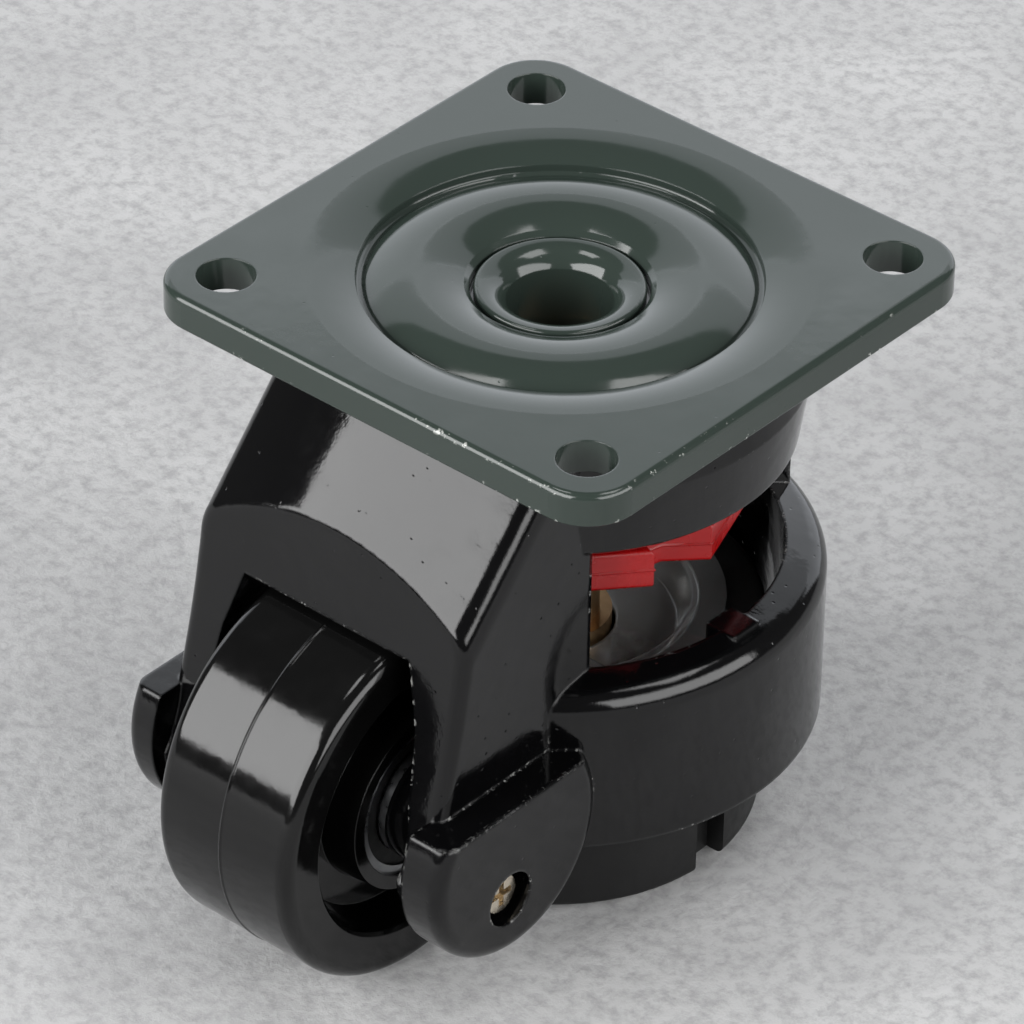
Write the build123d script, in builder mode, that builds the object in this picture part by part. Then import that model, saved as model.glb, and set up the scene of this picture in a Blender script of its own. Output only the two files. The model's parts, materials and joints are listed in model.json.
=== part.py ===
"""Levelling castor: a swivel castor with a screw-down foot beside its wheel.

Frame: origin at the centre of the mounting plate's top face, +Z up, the plate's edges along X and Y.
The wheel stands on the -Y side with its axle along X, and the foot slides along Z on the swivel axis.
Millimetres.
"""

from build123d import *

import os
from math import cos, radians, sin, sqrt, tan

overlap = 1.0  # how far a cut or a joined block runs past the face it meets
arc_inset = 1 - sqrt(0.5)  # how far in a quarter arc's middle stands, as a share of its radius

# ---------------------------------------------------------------- mounting plate
plate_side = 73.0
plate_thickness = 4.5
plate_corner_radius = 7.0
plate_edge_round = 0.9
bolt_spacing = 58.0
bolt_hole_diameter = 7.5
relief_radius = 31.8  # where the flat top starts to fall towards the ring
relief_depth = 1.35  # fall of that shoulder at the ring groove
ring_groove_radius = 24.6  # narrow groove pressed round the dome
ring_groove_depth = 2.7
ring_groove_width = 1.3
dome_crest_radius = 17.8
dome_crest_depth = 0.8
dome_rim_depth = 2.3  # level of the dome's outer and inner rims
plate_hole_radius = 11.2
plate_hole_bevel = 0.7
seat_depth = 4.3  # floor on which the kingpin's flare bears
plate_dish_depth = 6.9  # underside of the dished middle
dish_top_radius = 29.5
dish_bottom_radius = 26.0

# ---------------------------------------------------------------- kingpin
kingpin_bore_radius = 6.7
kingpin_shank_radius = 9.0
flare_radius = 10.7
flare_top_depth = 2.6
flare_round = 0.5
flare_fall = 2.2  # the crest falls this far to the bore
kingpin_flange_radius = 15.2
kingpin_flange_depth = 15.9  # level of the flange's top face
kingpin_flange_thickness = 3.3

# ---------------------------------------------------------------- swivel balls and races
upper_ball_radius = 2.5
upper_ball_depth = 8.0
upper_ball_count = 12
lower_ball_radius = 1.75
lower_pitch_radius = 12.6
lower_ball_rise = 0.45  # ball centres above the kingpin's flange
lower_ball_count = 12
ball_clearance = 0.05
race_land = 1.3  # width of race each side of the track
upper_race_open = 0.9  # race's open face beyond the ball centres
upper_race_backing = 1.1  # metal behind the track
lower_race_open = 0.5
lower_race_backing = 0.85

# ---------------------------------------------------------------- swivel head
plate_gap = 1.0  # between the plate and the head
head_top_radius = 29.8
head_radius = 31.6  # at the crease
head_lip_width = 1.0
head_crease_depth = 12.5
head_bottom_depth = 22.2
head_bottom_radius = 29.7
head_bevel = 0.6
head_boss_radius = 20.5
head_boss_drop = 2.6  # boss round the nut's circlip, below the head
shank_clearance = 0.6

# ---------------------------------------------------------------- cup and pillar
cup_inner_radius = 29.1
cup_outer_radius = 34.5
cup_rim_depth = 39.8
cup_rim_fall = 1.3  # the rim slopes down outwards by this much
cup_rim_round = 3.2
cup_foot_round = 0.8
cup_bottom_depth = 63.5
pillar_outer_radius = 32.4
pillar_half_angle = 27.0
key_width = 4.8
key_height = 2.3  # how far each key stands in from the cup's wall

# ---------------------------------------------------------------- fork, hood and ears
axle_offset = 37.2  # swivel axis to axle
axle_depth = 55.3
fork_half_width = 22.0
fork_edge_round = 1.7
hood_side_round = 3.8
hood_angle = 48.4  # slope of the hood above level
hood_edge_y = -41.35  # where the hood's crown meets the front face
hood_edge_depth = 17.7
hood_sagitta = 3.45  # rise of the hood's arch over its chord
hood_chord_half = 19.4
front_middle_y = -44.2
front_middle_depth = 37.6
front_low_y = -46.8  # where the front turns out into the ear
front_low_depth = 48.0
leg_foot_sagitta = 0.6  # hollow of the front where it runs into the ear
leg_foot_radius = 13.0  # end of each leg, set back behind the ear's edge
ear_join_angle = 9.0  # place on that end, below the axle's level, where the front meets it
fork_back_y = -18.0
ear_radius = 15.0
ear_inner_x = 20.7
right_ear_x = 26.8
left_ear_x = 25.4
ear_top_depth = 48.3
ear_edge_round = 2.0
ear_ledge_round = 0.5
wheel_top_gap = 0.3  # between the wheel and the pocket's front lip
pocket_hollow_rise = 2.6  # hollow over the wheel, behind the front lip
pocket_lip = 1.5
pocket_top_half_width = 13.45
pocket_shoulder_depth = 38.0
pocket_shoulder_half_width = 15.8
pocket_low_half_width = 18.0
axle_boss_radius = 7.6

# ---------------------------------------------------------------- wheel and axle
wheel_diameter = 50.0
wheel_width = 21.8
wheel_edge_round = 1.8
dish_outer_radius = 18.5
dish_floor_radius = 16.9
dish_depth = 5.2
dish_bevel = 0.5
wheel_web_clearance = 1.2  # between the axle and the wheel's bore
spacer_wall = 1.0
hub_radius = 12.4
axle_radius = 6.0
bearing_outer_radius = 10.6
bearing_width = 6.0
bearing_inset = 0.6  # bearing face below the hub's face
ring_wall = 1.15
bearing_ball_radius = 1.35
bearing_ball_count = 9
shield_thickness = 0.3
shield_inset = 0.35
side_washer_thickness = 1.2
side_washer_radius = 7.4
running_clearance = 0.05
axle_blind_skin = 4.6  # ear wall left beyond the axle's blind end
axle_end_recess = 0.8
mould_line_height = 0.25

# ---------------------------------------------------------------- keeper screw
keeper_offset_y = -1.6
keeper_offset_z = -6.5
keeper_radius = 2.0
keeper_head_radius = 2.6
keeper_head_length = 2.2
keeper_head_recess = 1.5
keeper_length = 7.0
keeper_counterbore_radius = 3.75
recess_width = 0.9
recess_span = 3.6
recess_depth = 1.3

# ---------------------------------------------------------------- adjuster
thread_radius = 5.9
thread_clearance = 0.08
running_gap = 0.05
washer_thickness = 1.2
washer_outer_radius = 14.6
washer_inner_radius = 7.3
nut_flange_radius = 14.4
nut_flange_thickness = 2.2
nut_hex_across_flats = 17.0
nut_bottom_depth = 33.5
nut_counterbore_radius = 6.85
nut_counterbore_depth = 2.85
circlip_thickness = 1.0
circlip_inner_radius = 12.9
circlip_outer_radius = 17.2
circlip_gap_angle = 40.0
nut_recess_radius = 16.2
thumbwheel_radius = 25.3
thumbwheel_root_radius = 21.5
thumbwheel_top_depth = 26.8
thumbwheel_thickness = 5.6
lobe_count = 6
lobe_flat_angle = 39.0
lobe_ramp_angle = 12.0
lobe_start_angle = -12.0  # where the first slanted flank starts, from +X
thumbwheel_edge_round = 0.7

# ---------------------------------------------------------------- foot
spindle_top_depth = 13.0
spindle_chamfer = 0.9
stop_ring_below_top = 1.2
stop_ring_thickness = 1.0
stop_ring_radius = 6.6
stop_groove_depth = 0.7
spindle_neck_radius = 4.2
spindle_collar_radius = 7.5
spindle_collar_depth = 51.5
pad_radius = 27.0
pad_top_depth = 49.8
pad_floor_depth = 79.2  # the wheel reaches lower, so the castor rolls until the foot is lowered
pad_edge_round = 1.2
wheel_slot_gap = 1.4  # between the wheel and the foot
pad_flat_wall = 2.0
pad_pocket_radius = 18.6
pad_bottom_thickness = 9.0
key_clearance = 0.3
pad_notch_depth = 2.8
foot_plate_thickness = 2.5
cover_radius = 22.0
cover_thickness = 0.8
cover_bowl_depth = 4.2
cover_bowl_top_radius = 18.3
cover_bowl_bottom_radius = 16.6
cover_spindle_gap = 0.5

# ---------------------------------------------------------------- levels and places shared by the pieces
plate_bottom = -plate_thickness
upper_ball_z = -upper_ball_depth
upper_race_top = upper_ball_z - upper_race_open
upper_race_bottom = upper_ball_z - upper_ball_radius - upper_race_backing
flange_top = -kingpin_flange_depth
flange_bottom = flange_top - kingpin_flange_thickness
lower_ball_z = flange_top + lower_ball_rise
lower_race_bottom = lower_ball_z + lower_race_open
lower_race_top = lower_ball_z + lower_ball_radius + lower_race_backing
washer_top = flange_bottom - running_gap
nut_top = washer_top - washer_thickness
nut_flange_bottom = nut_top - nut_flange_thickness
circlip_top = nut_flange_bottom - running_gap
circlip_bottom = circlip_top - circlip_thickness
head_top = plate_bottom - plate_gap
head_floor = -plate_dish_depth - plate_gap
head_bottom = -head_bottom_depth
boss_bottom = head_bottom - head_boss_drop
cup_rim = -cup_rim_depth
cup_bottom = -cup_bottom_depth
axle_y = -axle_offset
axle_z = -axle_depth
ear_top = -ear_top_depth
hub_face_x = wheel_width / 2
pocket_top = axle_z + wheel_diameter / 2 + wheel_top_gap
bearing_face_x = hub_face_x - bearing_inset
boss_face_x = bearing_face_x + side_washer_thickness
axle_right_x = right_ear_x - axle_blind_skin
axle_left_x = axle_end_recess - left_ear_x
keeper_y = axle_y + keeper_offset_y
keeper_z = axle_z + keeper_offset_z
keeper_head_x = right_ear_x - keeper_head_recess
keeper_seat_x = keeper_head_x - keeper_head_length
keeper_end_x = keeper_head_x - keeper_length
slot_half_width = wheel_width / 2 + wheel_slot_gap
slot_y = axle_y + wheel_diameter / 2 + wheel_slot_gap
pocket_flat_y = slot_y + pad_flat_wall
pad_top = -pad_top_depth
pad_floor = -pad_floor_depth
pocket_floor = pad_floor + pad_bottom_thickness

os.makedirs("parts", exist_ok=True)
finished = []


def finish(builder, label):
    """Label a finished piece and queue it for export."""
    builder.part.label = label
    finished.append(builder.part)


# ================================================================ top plate
with BuildPart() as top_plate:
    with BuildSketch(Plane.XY.offset(plate_bottom)):
        RectangleRounded(plate_side, plate_side, plate_corner_radius)
    extrude(amount=plate_thickness)
    fillet(top_plate.faces().sort_by(Axis.Z)[-1].edges(), plate_edge_round)
    fillet(top_plate.faces().sort_by(Axis.Z)[0].edges(), plate_edge_round / 3)
    # The dished middle, below the flat sheet.
    with BuildSketch(Plane.XZ):
        with BuildLine():
            Polyline(
                (0, plate_bottom / 2),
                (dish_top_radius, plate_bottom / 2),
                (dish_top_radius, plate_bottom),
                (dish_bottom_radius, -plate_dish_depth),
                (0, -plate_dish_depth),
                close=True,
            )
        make_face()
    revolve(axis=Axis.Z)
    # The pressed relief seen from above: shoulder, ring groove, dome and centre hole.
    groove_outer = ring_groove_radius + ring_groove_width / 2
    groove_inner = ring_groove_radius - ring_groove_width / 2
    dome_inner = plate_hole_radius + plate_hole_bevel
    shoulder_width = relief_radius - groove_outer
    shoulder_radius = (shoulder_width**2 + relief_depth**2) / (2 * relief_depth)
    with BuildSketch(Plane.XZ):
        with BuildLine():
            RadiusArc((relief_radius, 0), (groove_outer, -relief_depth), -shoulder_radius)
            Line((groove_outer, -relief_depth), (groove_outer, -dome_rim_depth))
            ThreePointArc(
                (groove_outer, -dome_rim_depth),
                (ring_groove_radius, -ring_groove_depth),
                (groove_inner, -dome_rim_depth),
            )
            ThreePointArc(
                (groove_inner, -dome_rim_depth),
                (dome_crest_radius, -dome_crest_depth),
                (dome_inner, -dome_rim_depth),
            )
            Polyline(
                (dome_inner, -dome_rim_depth),
                (plate_hole_radius, -dome_rim_depth - plate_hole_bevel),
                (plate_hole_radius, -seat_depth),
                (kingpin_shank_radius, -seat_depth),
                (kingpin_shank_radius, -plate_dish_depth - overlap),
                (0, -plate_dish_depth - overlap),
                (0, overlap),
                (relief_radius, overlap),
                (relief_radius, 0),
            )
        make_face()
    revolve(axis=Axis.Z, mode=Mode.SUBTRACT)
    # Ball track under the dome.
    with BuildSketch(Plane.XZ):
        with Locations((dome_crest_radius, upper_ball_z)):
            Circle(upper_ball_radius + ball_clearance)
    revolve(axis=Axis.Z, mode=Mode.SUBTRACT)
    with BuildSketch(Plane.XY):
        with GridLocations(bolt_spacing, bolt_spacing, 2, 2):
            Circle(bolt_hole_diameter / 2)
    extrude(amount=-2 * plate_thickness, mode=Mode.SUBTRACT)
finish(top_plate, "top_plate")

# ================================================================ kingpin
flare_crest = (flare_radius - flare_round, -flare_top_depth)
with BuildPart() as kingpin:
    with BuildSketch(Plane.XZ):
        with BuildLine():
            Polyline(
                (kingpin_bore_radius, -flare_top_depth - flare_fall),
                (kingpin_bore_radius, flange_bottom),
                (kingpin_flange_radius, flange_bottom),
                (kingpin_flange_radius, flange_top),
                (kingpin_shank_radius, flange_top),
                (kingpin_shank_radius, -seat_depth),
                (flare_radius, -seat_depth),
                (flare_radius, -flare_top_depth - flare_round),
            )
            ThreePointArc(
                (flare_radius, -flare_top_depth - flare_round),
                (flare_radius - flare_round * arc_inset, -flare_top_depth - flare_round * arc_inset),
                flare_crest,
            )
            TangentArc(flare_crest, (kingpin_bore_radius, -flare_top_depth - flare_fall), tangent=(-1, 0))
        make_face()
    revolve(axis=Axis.Z)
    with BuildSketch(Plane.XZ):
        with Locations((lower_pitch_radius, lower_ball_z)):
            Circle(lower_ball_radius + ball_clearance)
    revolve(axis=Axis.Z, mode=Mode.SUBTRACT)
finish(kingpin, "kingpin")


# ================================================================ race rings and balls
def race_ring(label, pitch_radius, ball_radius, ball_z, bottom, top):
    """A steel ring with a ball track turned in the face nearest the balls."""
    with BuildPart() as ring:
        with BuildSketch(Plane.XY.offset(bottom)):
            Circle(pitch_radius + ball_radius + race_land)
            Circle(pitch_radius - ball_radius - race_land, mode=Mode.SUBTRACT)
        extrude(amount=top - bottom)
        with BuildSketch(Plane.XZ):
            with Locations((pitch_radius, ball_z)):
                Circle(ball_radius)
        revolve(axis=Axis.Z, mode=Mode.SUBTRACT)
    finish(ring, label)


def ball_row(label, pitch_radius, ball_radius, ball_z, count):
    """A row of separate balls round the swivel axis."""
    with BuildPart() as balls:
        with Locations(Plane.XY.offset(ball_z)):
            with PolarLocations(pitch_radius, count):
                Sphere(ball_radius)
    finish(balls, label)


upper_pitch = dome_crest_radius
race_ring("upper_race", upper_pitch, upper_ball_radius, upper_ball_z, upper_race_bottom, upper_race_top)
lower_pitch = lower_pitch_radius
race_ring("lower_race", lower_pitch, lower_ball_radius, lower_ball_z, lower_race_bottom, lower_race_top)
ball_row("upper_balls", upper_pitch, upper_ball_radius, upper_ball_z, upper_ball_count)
ball_row("lower_balls", lower_pitch, lower_ball_radius, lower_ball_z, lower_ball_count)

# ================================================================ swivel housing
hood_slope = tan(radians(hood_angle))
hood_top_y = hood_edge_y + (hood_edge_depth + head_top) / hood_slope
hood_radius = (hood_chord_half**2 + hood_sagitta**2) / (2 * hood_sagitta)
ear_join_y = axle_y - leg_foot_radius * cos(radians(ear_join_angle))
ear_join_z = axle_z - leg_foot_radius * sin(radians(ear_join_angle))
hood_plane = Plane(
    origin=(0, hood_edge_y, -hood_edge_depth),
    x_dir=(1, 0, 0),
    z_dir=(0, -cos(radians(hood_angle)), -sin(radians(hood_angle))),
)

with BuildPart() as fork:
    # Side outline: hood slope, forward-leaning front, then out and round the axle.
    with BuildSketch(Plane.YZ):
        with BuildLine():
            Polyline(
                (fork_back_y, axle_z),
                (fork_back_y, head_top),
                (hood_top_y, head_top),
                (hood_edge_y, -hood_edge_depth),
            )
            ThreePointArc(
                (hood_edge_y, -hood_edge_depth),
                (front_middle_y, -front_middle_depth),
                (front_low_y, -front_low_depth),
            )
            SagittaArc((front_low_y, -front_low_depth), (ear_join_y, ear_join_z), leg_foot_sagitta)
            ThreePointArc(
                (ear_join_y, ear_join_z),
                (axle_y, axle_z - leg_foot_radius),
                (axle_y + leg_foot_radius, axle_z),
            )
            Line((axle_y + leg_foot_radius, axle_z), (fork_back_y, axle_z))
        make_face()
    extrude(amount=fork_half_width, both=True)
    # The hood is arched across its width, and the arch runs up the slope.
    with BuildSketch(hood_plane):
        with Locations((0, -hood_radius)):
            Circle(hood_radius)
    extrude(amount=2 * plate_side, both=True, mode=Mode.INTERSECT)
    side_edges = fork.faces().filter_by(Axis.X).edges()
    up_slope = Vector(0, cos(radians(hood_angle)), sin(radians(hood_angle)))
    slope_edges = side_edges.filter_by(lambda e: abs((e % 0.5).dot(up_slope)) > 0.99)
    fillet(slope_edges.filter_by(lambda e: e.center().Y < hood_top_y), hood_side_round)
    # The front's upright edges and the hood's front edge.
    fork_edges = fork.edges().filter_by(lambda e: e.center().Y < hood_edge_y and e.center().Z > ear_join_z)
    upright_edges = fork_edges.filter_by(lambda e: abs(e.center().X) > hood_chord_half)
    cross_edges = fork_edges.filter_by(lambda e: e.length > hood_chord_half) - upright_edges
    fillet(upright_edges + cross_edges, fork_edge_round)


def ear_slab(start_x, end_x):
    """A round slab on the fork's side with a flat ledge on top, its outer rim rounded."""
    with BuildPart() as slab:
        with BuildSketch(Plane.YZ.offset(start_x)):
            with Locations((axle_y, axle_z)):
                Circle(ear_radius)
            with Locations((axle_y, ear_top)):
                Rectangle(3 * ear_radius, 2 * ear_radius, align=(Align.CENTER, Align.MIN), mode=Mode.SUBTRACT)
        extrude(amount=end_x - start_x)
        outer_edges = slab.edges().filter_by_position(Axis.X, end_x, end_x)
        fillet(outer_edges.filter_by(GeomType.CIRCLE), ear_edge_round)
        outer_edges = slab.edges().filter_by_position(Axis.X, end_x, end_x)
        fillet(outer_edges.filter_by(GeomType.LINE), ear_ledge_round)
    return slab


right_ear = ear_slab(ear_inner_x, right_ear_x)
left_ear = ear_slab(-ear_inner_x, -left_ear_x)

with BuildPart() as swivel_housing:
    # Head, with the boss round the nut below it.
    with BuildSketch(Plane.XZ):
        with BuildLine():
            Polyline(
                (0, head_top),
                (head_top_radius, head_top),
                (head_radius, -head_crease_depth),
                (head_bottom_radius + head_bevel, head_bottom + head_bevel),
                (head_bottom_radius, head_bottom),
                (head_boss_radius, head_bottom),
                (head_boss_radius, boss_bottom),
                (0, boss_bottom),
                close=True,
            )
        make_face()
    revolve(axis=Axis.Z)
    add(fork.part)
    add(right_ear.part)
    add(left_ear.part)
    # Space inside the cup, open downwards and forwards to the wheel.
    with BuildSketch(Plane.XY.offset(boss_bottom)):
        Circle(cup_inner_radius)
    extrude(amount=-plate_side, mode=Mode.SUBTRACT)
    with BuildSketch(Plane.XY.offset(head_bottom)):
        Circle(cup_inner_radius)
        Circle(head_boss_radius, mode=Mode.SUBTRACT)
    extrude(amount=boss_bottom - head_bottom, mode=Mode.SUBTRACT)
    # Cup wall, its rim sloping down outwards.
    with BuildSketch(Plane.XZ):
        with BuildLine():
            Polyline(
                (cup_inner_radius, cup_rim),
                (cup_outer_radius, cup_rim - cup_rim_fall),
                (cup_outer_radius, cup_bottom),
                (cup_inner_radius, cup_bottom),
                close=True,
            )
        rim_section = make_face()
        foot_corner, rim_corner = rim_section.vertices().sort_by(Axis.X)[-2:].sort_by(Axis.Y)
        fillet(rim_corner, cup_rim_round)
        fillet(foot_corner, cup_foot_round)
    revolve(axis=Axis.Z)
    # Rear pillar between the head and the cup.
    pillar_start = radians(90 - pillar_half_angle)
    pillar_plane = Plane(
        origin=(0, 0, 0),
        x_dir=(cos(pillar_start), sin(pillar_start), 0),
        z_dir=(sin(pillar_start), -cos(pillar_start), 0),
    )
    with BuildSketch(pillar_plane):
        with BuildLine():
            Polyline(
                (cup_inner_radius, head_bottom + overlap),
                (cup_inner_radius, -head_crease_depth),
                (head_radius, -head_crease_depth),
                (pillar_outer_radius, head_bottom),
                (pillar_outer_radius, cup_rim - cup_rim_fall - overlap),
                (cup_inner_radius, cup_rim - cup_rim_fall - overlap),
                close=True,
            )
        make_face()
    revolve(axis=Axis.Z, revolution_arc=2 * pillar_half_angle)
    # Wheel pocket, flared downwards, and the hollow above it behind the hood.
    with BuildSketch(Plane.XZ.offset(-slot_y)):
        with BuildLine():
            Polyline(
                (-pocket_top_half_width, pocket_top),
                (pocket_top_half_width, pocket_top),
                (pocket_shoulder_half_width, -pocket_shoulder_depth),
                (pocket_low_half_width, axle_z),
                (pocket_low_half_width, pad_floor),
                (-pocket_low_half_width, pad_floor),
                (-pocket_low_half_width, axle_z),
                (-pocket_shoulder_half_width, -pocket_shoulder_depth),
                close=True,
            )
        make_face()
    extrude(amount=plate_side, mode=Mode.SUBTRACT)
    with BuildSketch(Plane.XY.offset(pocket_top)):
        with Locations((0, hood_edge_y + pocket_lip)):
            Rectangle(2 * pocket_top_half_width, -hood_edge_y / 2, align=(Align.CENTER, Align.MIN))
    extrude(amount=pocket_hollow_rise, mode=Mode.SUBTRACT)
    # Axle bosses.
    for side in (-1, 1):
        with BuildSketch(Plane.YZ.offset(side * boss_face_x)):
            with Locations((axle_y, axle_z)):
                Circle(axle_boss_radius)
        extrude(amount=side * (pocket_low_half_width + overlap - boss_face_x))
    # Keys that stop the foot turning.
    for side in (-1, 1):
        with BuildSketch(Plane.XY.offset(cup_rim)):
            with Locations((side * cup_inner_radius, 0)):
                Rectangle(2 * key_height, key_width)
        extrude(amount=cup_bottom - cup_rim)
    # Swivel bearing seats, from the top down.
    for seat_radius, seat_top, seat_bottom in (
        (head_top_radius - head_lip_width, head_top, head_floor),
        (upper_pitch + upper_ball_radius + race_land, head_floor, upper_race_bottom),
        (kingpin_shank_radius + shank_clearance, upper_race_bottom, lower_race_top),
        (lower_pitch_radius + lower_ball_radius + race_land, lower_race_top, lower_race_bottom),
        (nut_recess_radius, lower_race_bottom, boss_bottom),
        (circlip_outer_radius, circlip_top, circlip_bottom),
    ):
        with BuildSketch(Plane.XY.offset(seat_top)):
            Circle(seat_radius)
        extrude(amount=seat_bottom - seat_top, mode=Mode.SUBTRACT)
    # Axle bore: through on the left, blind on the right.
    with BuildSketch(Plane.YZ.offset(axle_right_x)):
        with Locations((axle_y, axle_z)):
            Circle(axle_radius)
    extrude(amount=-2 * right_ear_x, mode=Mode.SUBTRACT)
    # Keeper screw's counterbore and tapped hole.
    with BuildSketch(Plane.YZ.offset(right_ear_x)):
        with Locations((keeper_y, keeper_z)):
            Circle(keeper_counterbore_radius)
    extrude(amount=keeper_seat_x - right_ear_x, mode=Mode.SUBTRACT)
    with BuildSketch(Plane.YZ.offset(keeper_seat_x)):
        with Locations((keeper_y, keeper_z)):
            Circle(keeper_radius)
    extrude(amount=keeper_end_x - keeper_seat_x, mode=Mode.SUBTRACT)
finish(swivel_housing, "swivel_housing")

# ================================================================ adjuster
with BuildPart() as thrust_washer:
    with BuildSketch(Plane.XY.offset(nut_top)):
        Circle(washer_outer_radius)
        Circle(washer_inner_radius, mode=Mode.SUBTRACT)
    extrude(amount=washer_thickness)
finish(thrust_washer, "thrust_washer")

with BuildPart() as adjusting_nut:
    with BuildSketch(Plane.XY.offset(nut_flange_bottom)):
        Circle(nut_flange_radius)
    extrude(amount=nut_flange_thickness)
    with BuildSketch(Plane.XY.offset(nut_flange_bottom)):
        RegularPolygon(nut_hex_across_flats / 2, 6, major_radius=False)
    extrude(amount=-nut_bottom_depth - nut_flange_bottom)
    with BuildSketch(Plane.XY.offset(nut_top)):
        Circle(thread_radius + thread_clearance)
    extrude(amount=-nut_bottom_depth - nut_top, mode=Mode.SUBTRACT)
    with BuildSketch(Plane.XY.offset(nut_top)):
        Circle(nut_counterbore_radius)
    extrude(amount=-nut_counterbore_depth, mode=Mode.SUBTRACT)
finish(adjusting_nut, "adjusting_nut")

with BuildPart() as nut_circlip:
    with BuildSketch(Plane.XY.offset(circlip_bottom)):
        Circle(circlip_outer_radius)
        Circle(circlip_inner_radius, mode=Mode.SUBTRACT)
        gap_reach = 2 * circlip_outer_radius
        gap_half = gap_reach * tan(radians(circlip_gap_angle / 2))
        with BuildLine():
            Polyline((0, 0), (gap_half, gap_reach), (-gap_half, gap_reach), close=True)
        make_face(mode=Mode.SUBTRACT)
    extrude(amount=circlip_thickness)
finish(nut_circlip, "nut_circlip")

with BuildPart() as thumbwheel:
    with BuildSketch(Plane.XY.offset(-thumbwheel_top_depth)):
        Circle(thumbwheel_root_radius)
        # Each lobe has a slanted flank, a flat crown and a sharp flank, going round from +X towards +Y.
        lobe_inner = thumbwheel_root_radius - overlap
        for lobe in range(lobe_count):
            ramp_start = radians(lobe * 360 / lobe_count + lobe_start_angle)
            crown_start = ramp_start + radians(lobe_ramp_angle)
            sharp = crown_start + radians(lobe_flat_angle)
            with BuildLine():
                Polyline(
                    (lobe_inner * cos(ramp_start), lobe_inner * sin(ramp_start)),
                    (thumbwheel_root_radius * cos(ramp_start), thumbwheel_root_radius * sin(ramp_start)),
                    (thumbwheel_radius * cos(crown_start), thumbwheel_radius * sin(crown_start)),
                    (thumbwheel_radius * cos(sharp), thumbwheel_radius * sin(sharp)),
                    (lobe_inner * cos(sharp), lobe_inner * sin(sharp)),
                    close=True,
                )
            make_face()
    extrude(amount=-thumbwheel_thickness)
    upright_edges = thumbwheel.edges().filter_by(Axis.Z)
    fillet(thumbwheel.edges() - upright_edges, thumbwheel_edge_round)
    with BuildSketch(Plane.XY.offset(-thumbwheel_top_depth)):
        RegularPolygon(nut_hex_across_flats / 2, 6, major_radius=False)
    extrude(amount=-thumbwheel_thickness, mode=Mode.SUBTRACT)
finish(thumbwheel, "thumbwheel")

# ================================================================ foot
spindle_top = -spindle_top_depth
stop_ring_top = spindle_top - stop_ring_below_top
foot_plate_top = pocket_floor + foot_plate_thickness
with BuildPart() as spindle:
    with BuildSketch(Plane.XY.offset(spindle_top)):
        Circle(thread_radius)
    extrude(amount=foot_plate_top - spindle_top)
    chamfer(spindle.edges().sort_by(Axis.Z)[-1], spindle_chamfer)
    with BuildSketch(Plane.XY.offset(-spindle_collar_depth)):
        Circle(spindle_collar_radius)
    extrude(amount=foot_plate_top + spindle_collar_depth)
    with BuildSketch(Plane.XY.offset(foot_plate_top)):
        Circle(spindle_neck_radius)
    extrude(amount=-foot_plate_thickness)
    with BuildSketch(Plane.XY.offset(stop_ring_top)):
        Circle(thread_radius + overlap)
        Circle(thread_radius - stop_groove_depth, mode=Mode.SUBTRACT)
    extrude(amount=-stop_ring_thickness, mode=Mode.SUBTRACT)
finish(spindle, "spindle")

with BuildPart() as spindle_stop_ring:
    with BuildSketch(Plane.XY.offset(stop_ring_top)):
        Circle(stop_ring_radius)
        Circle(thread_radius - stop_groove_depth, mode=Mode.SUBTRACT)
        with Locations((stop_ring_radius, 0)):
            Rectangle(2 * stop_ring_radius, stop_ring_radius / 2, mode=Mode.SUBTRACT)
    extrude(amount=-stop_ring_thickness)
finish(spindle_stop_ring, "spindle_stop_ring")

with BuildPart() as foot_plate:
    with BuildSketch(Plane.XY.offset(pocket_floor)):
        Circle(pad_pocket_radius)
        with Locations((0, pocket_flat_y)):
            Rectangle(4 * pad_radius, 2 * pad_radius, align=(Align.CENTER, Align.MAX), mode=Mode.SUBTRACT)
        Circle(spindle_neck_radius, mode=Mode.SUBTRACT)
    extrude(amount=foot_plate_thickness)
finish(foot_plate, "foot_plate")

with BuildPart() as foot_pad:
    with BuildSketch(Plane.XY.offset(pad_floor)):
        Circle(pad_radius)
    extrude(amount=pad_top - pad_floor)
    fillet(foot_pad.edges().filter_by(GeomType.CIRCLE), pad_edge_round)
    with BuildSketch(Plane.XY.offset(pad_floor)):
        with Locations((0, slot_y)):
            Rectangle(2 * slot_half_width, 2 * pad_radius, align=(Align.CENTER, Align.MAX))
        for side in (-1, 1):
            with Locations((side * pad_radius, 0)):
                Rectangle(2 * pad_notch_depth, key_width + 2 * key_clearance)
    extrude(amount=pad_top - pad_floor, mode=Mode.SUBTRACT)
    with BuildSketch(Plane.XY.offset(pocket_floor)):
        Circle(pad_pocket_radius)
        with Locations((0, pocket_flat_y)):
            Rectangle(4 * pad_radius, 2 * pad_radius, align=(Align.CENTER, Align.MAX), mode=Mode.SUBTRACT)
        Circle(spindle_collar_radius + running_gap)
    extrude(amount=pad_top - pocket_floor, mode=Mode.SUBTRACT)
finish(foot_pad, "foot_pad")

bowl_bottom = pad_top - cover_bowl_depth
with BuildPart() as cover_bowl:
    with BuildSketch(Plane.XZ):
        with BuildLine():
            Polyline(
                (0, pad_top + cover_thickness),
                (cover_bowl_top_radius, pad_top + cover_thickness),
                (cover_bowl_top_radius, pad_top),
                (cover_bowl_bottom_radius, bowl_bottom),
                (0, bowl_bottom),
                close=True,
            )
        make_face()
    revolve(axis=Axis.Z)
    with BuildSketch(Plane.XY.offset(bowl_bottom)):
        with Locations((0, pocket_flat_y)):
            Rectangle(4 * pad_radius, 2 * pad_radius, align=(Align.CENTER, Align.MAX))
    extrude(amount=plate_side, mode=Mode.SUBTRACT)

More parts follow.
